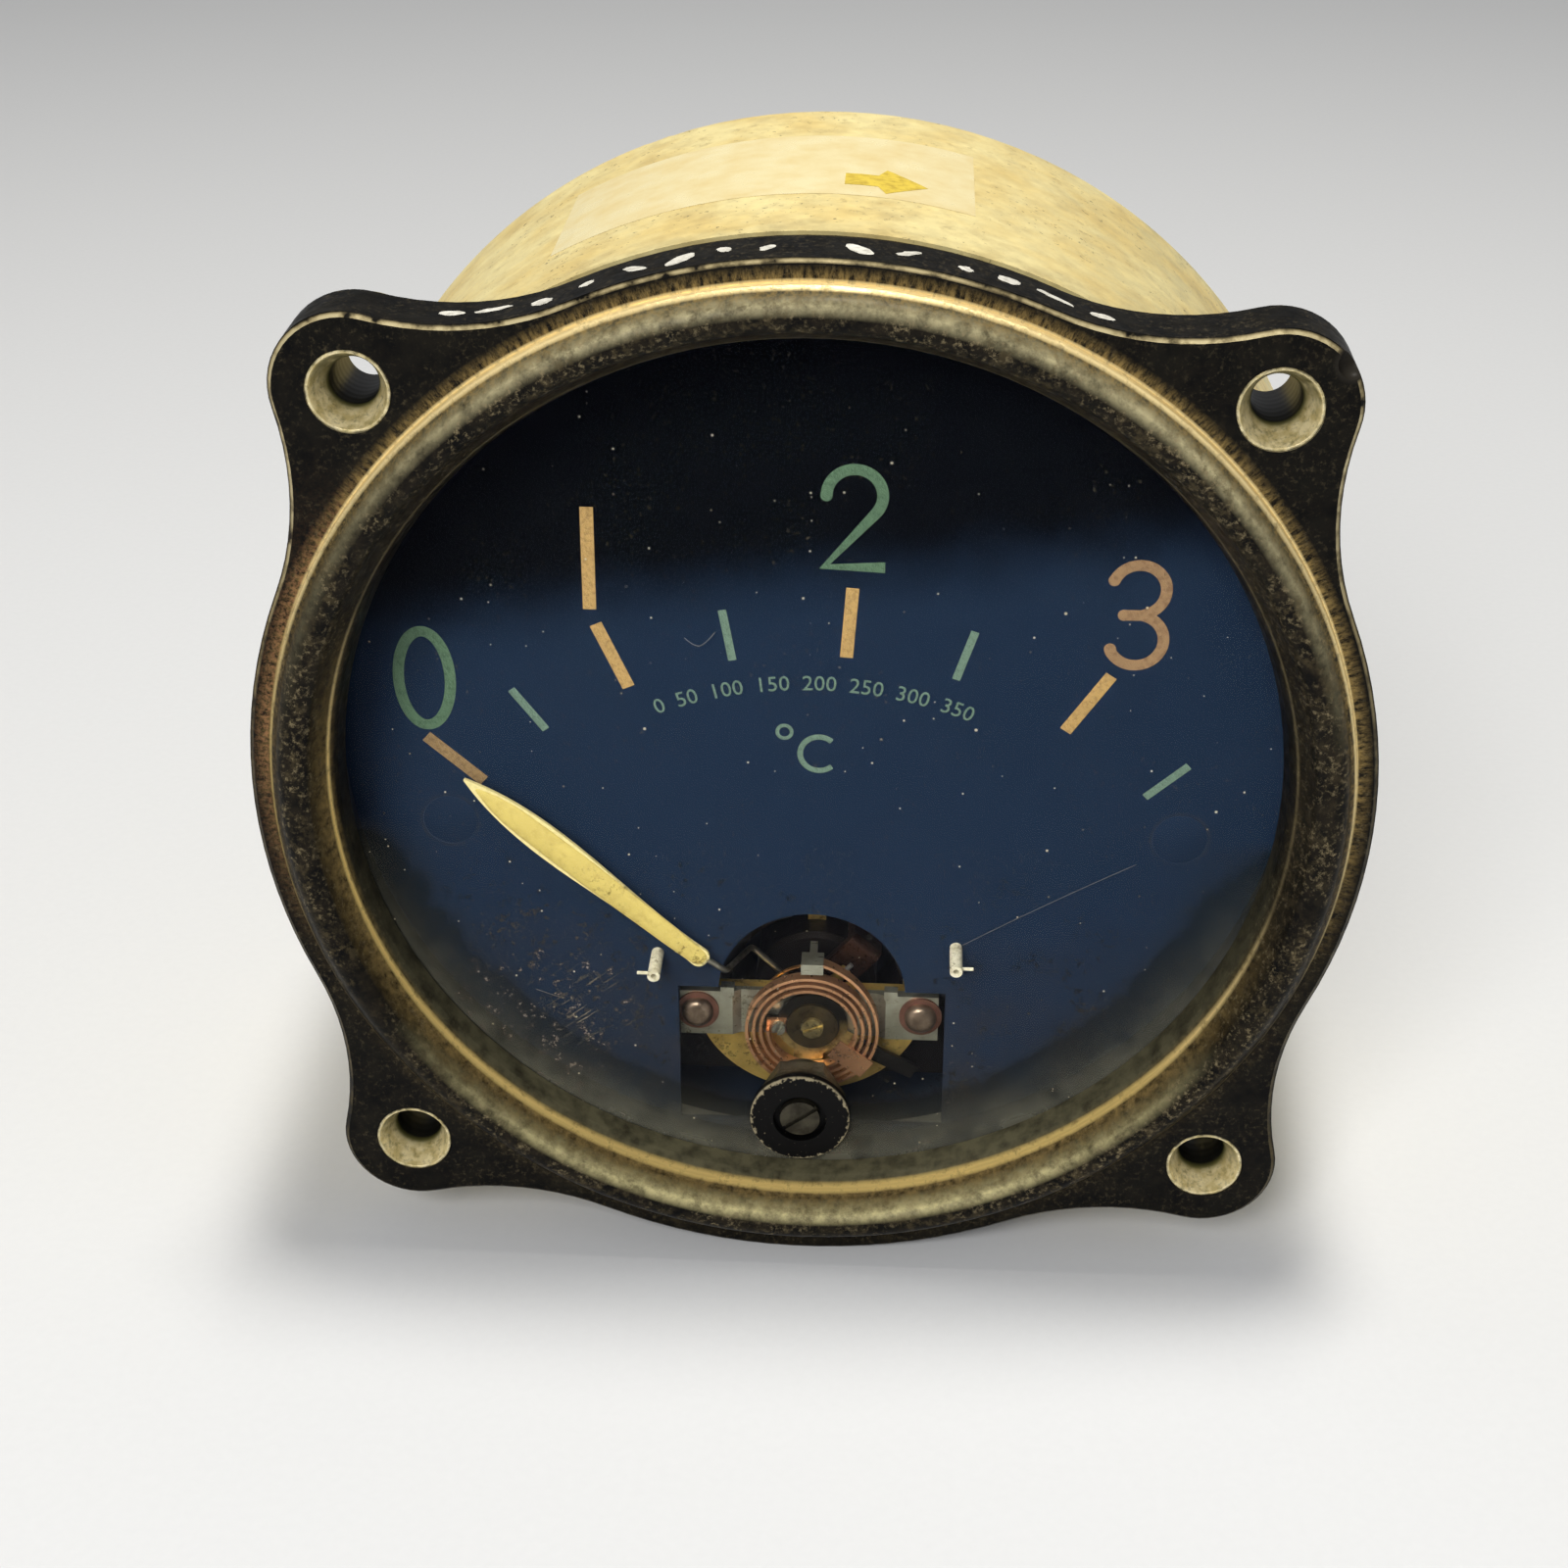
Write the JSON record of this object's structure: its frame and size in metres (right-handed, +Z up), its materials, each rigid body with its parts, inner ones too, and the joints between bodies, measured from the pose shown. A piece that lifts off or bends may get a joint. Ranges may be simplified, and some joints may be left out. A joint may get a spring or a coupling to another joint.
{
  "type": "panel temperature gauge",
  "caption": "Round panel-mounted moving-coil temperature gauge with a worn black bezel, a black dial, a cream pointer, a zero adjuster in the glass and screw terminals behind.",
  "frame": {"origin": "centre of the four mounting holes, on the gauge axis at the front face of the mounting ears", "axes": "-Y out of the dial towards the viewer, +Z up the dial, +X to the right of the dial seen from the front"},
  "size_m": [0.0826, 0.0579, 0.0826],
  "materials": {
    "black_enamel": "worn semi-gloss black enamel, rubbed through to brown brass on the edges",
    "insert_steel": "dull plated steel",
    "seal_rubber": "matt black rubber",
    "window_glass": "clear, with dust and fine scratches inside",
    "ring_black": "matt black",
    "dial_black": "matt black, faintly blue",
    "luminous_cream": "aged cream luminous paint",
    "plate_aluminium": "plain machined",
    "spring_steel": "dark spring steel",
    "case_gold": "pale khaki-gold passivated metal, blotched",
    "plain_steel": "plated steel screws",
    "turned_brass": "turned brass, lightly tarnished",
    "bakelite": "dark brown moulded phenolic",
    "bushing_black": "black with a worn pale rim",
    "copper_strip": "copper-coloured bimetal strip",
    "dark_steel": "blackened steel",
    "nickel_bar": "satin nickel",
    "coil_copper": "enamelled copper wire",
    "spring_bronze": "fine bronze strip",
    "soft_iron": "brown oxidised soft iron",
    "magnet_alloy": "ground magnet alloy",
    "winding_red": "varnished resistance wire",
    "lead_sleeve": "varnished cambric sleeve"
  },
  "bodies": {
    "housing": {"bezel": "black_enamel", "mounting_inserts": "insert_steel", "glass_gasket": "seal_rubber", "cover_glass": "window_glass", "glass_ring": "ring_black", "spacer_ring": "ring_black", "dial": "dial_black", "dial_screws": "dial_black", "pointer_stops": "luminous_cream", "movement_plate": "plate_aluminium", "snap_ring": "spring_steel", "case": "case_gold", "case_posts": "turned_brass", "case_screws": "plain_steel", "terminal_block": "bakelite", "terminal_block_screws": "plain_steel", "terminal_stud_positive": "turned_brass", "terminal_stud_negative": "turned_brass", "terminal_washers": "plain_steel", "terminal_nuts": "plain_steel", "adjuster_bushing": "bushing_black", "adjuster_washer": "dark_steel", "adjuster_nut": "dark_steel", "bridge_bar": "nickel_bar", "front_bridge": "turned_brass", "bridge_washers": "dark_steel", "bridge_screws": "plain_steel", "bridge_pillars": "turned_brass", "front_jewel_screw": "plain_steel", "front_jewel_nut": "dark_steel", "rear_hairspring": "spring_bronze", "pole_pieces": "soft_iron", "iron_core": "soft_iron", "core_spacers": "turned_brass", "magnet": "magnet_alloy", "movement_pillars": "turned_brass", "movement_screws": "plain_steel", "rear_bridge": "turned_brass", "rear_pillars": "turned_brass", "rear_bridge_screws": "plain_steel", "rear_jewel_screw": "plain_steel", "rear_jewel_nut": "dark_steel", "resistor_bobbin": "bakelite", "resistor_winding": "winding_red", "bobbin_screw": "plain_steel", "lead_wires": "lead_sleeve"},
    "movement": {"pointer": "luminous_cream", "pointer_fill": "luminous_cream", "moving_coil": "coil_copper", "front_staff": "plain_steel", "rear_staff": "plain_steel", "balance_cross": "plate_aluminium", "balance_weights": "turned_brass"},
    "zero_adjuster": {"zero_screw": "plain_steel"},
    "corrector": {"zero_lever": "dark_steel", "bimetal_spiral": "copper_strip", "spiral_screw": "nickel_bar", "hairspring_stud": "nickel_bar", "front_hairspring": "spring_bronze"}
  },
  "joints": [
    {"name": "pointer_turn", "type": "hinge", "parent": "housing", "child": "movement", "pos_m": [0, 0.0148, -0.0265], "axis": [0, 1, 0], "range_deg": [-4, 92], "stiffness_Nm_per_rad": 0.0006},
    {"name": "zero_screw_turn", "type": "hinge", "parent": "housing", "child": "zero_adjuster", "pos_m": [-0.00065, 0.005, -0.0305], "axis": [0, 1, 0], "range_deg": [-25, 25]},
    {"name": "corrector_turn", "type": "hinge", "parent": "housing", "child": "corrector", "pos_m": [0, 0.0116, -0.0265], "axis": [0, 1, 0], "range_deg": [-8.8, 8.8]}
  ],
  "couplings": [
    {"joint": "corrector_turn", "follows": "zero_screw_turn", "ratio": 0.35098}
  ]
}
